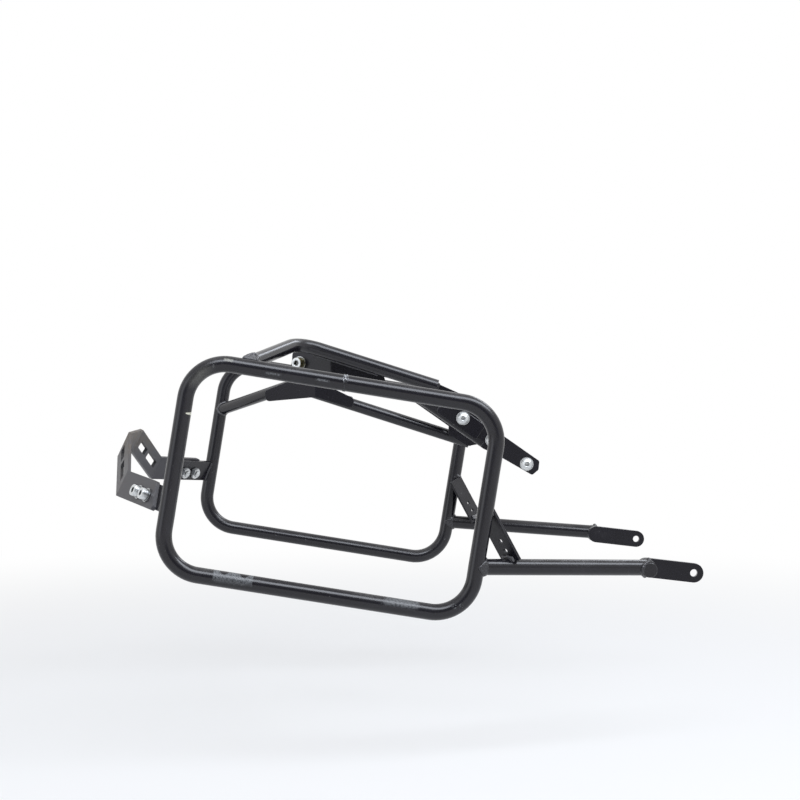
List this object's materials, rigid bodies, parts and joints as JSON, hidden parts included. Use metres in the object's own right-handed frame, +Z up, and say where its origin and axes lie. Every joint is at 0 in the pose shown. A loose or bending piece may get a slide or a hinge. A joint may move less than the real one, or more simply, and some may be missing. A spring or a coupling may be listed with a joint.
{
  "type": "pannier frame",
  "caption": "Tubular motorbike pannier frame with rounded carrier loops, bent upper arms, slanting lower struts, bolted plates and a folded rear crossbar.",
  "frame": {"origin": "centre of the overall box, on the machine's centre plane", "axes": "as fitted: +X forward, +Y to the rider's left, +Z up"},
  "size_m": [0.6868, 0.538, 0.3102],
  "materials": {
    "black_tube": "satin black powder coat, lightly scuffed",
    "black_sheet": "satin black powder coat on cut sheet",
    "charcoal_sheet": "satin charcoal powder coat on folded sheet",
    "zinc_steel": "bright zinc plate"
  },
  "bodies": {
    "root": {"arm_screws": "zinc_steel", "arm_washers": "zinc_steel", "crossbar_nuts": "zinc_steel", "crossbar_screws": "zinc_steel", "crossbar_washers": "zinc_steel", "left_arm_plate": "black_sheet", "left_brace": "black_sheet", "left_front_doubler": "black_sheet", "left_front_plate": "black_sheet", "left_front_screws": "zinc_steel", "left_front_washers": "zinc_steel", "left_loop": "black_tube", "left_lower_strut": "black_tube", "left_rear_tab": "black_sheet", "left_strut_boss": "black_tube", "left_strut_plate": "black_sheet", "left_upper_arm": "black_tube", "rear_crossbar": "charcoal_sheet", "right_arm_plate": "black_sheet", "right_brace": "black_sheet", "right_front_doubler": "black_sheet", "right_front_plate": "black_sheet", "right_front_screws": "zinc_steel", "right_front_washers": "zinc_steel", "right_loop": "black_tube", "right_lower_strut": "black_tube", "right_rear_tab": "black_sheet", "right_strut_boss": "black_tube", "right_strut_plate": "black_sheet", "right_upper_arm": "black_tube"}
  },
  "joints": []
}
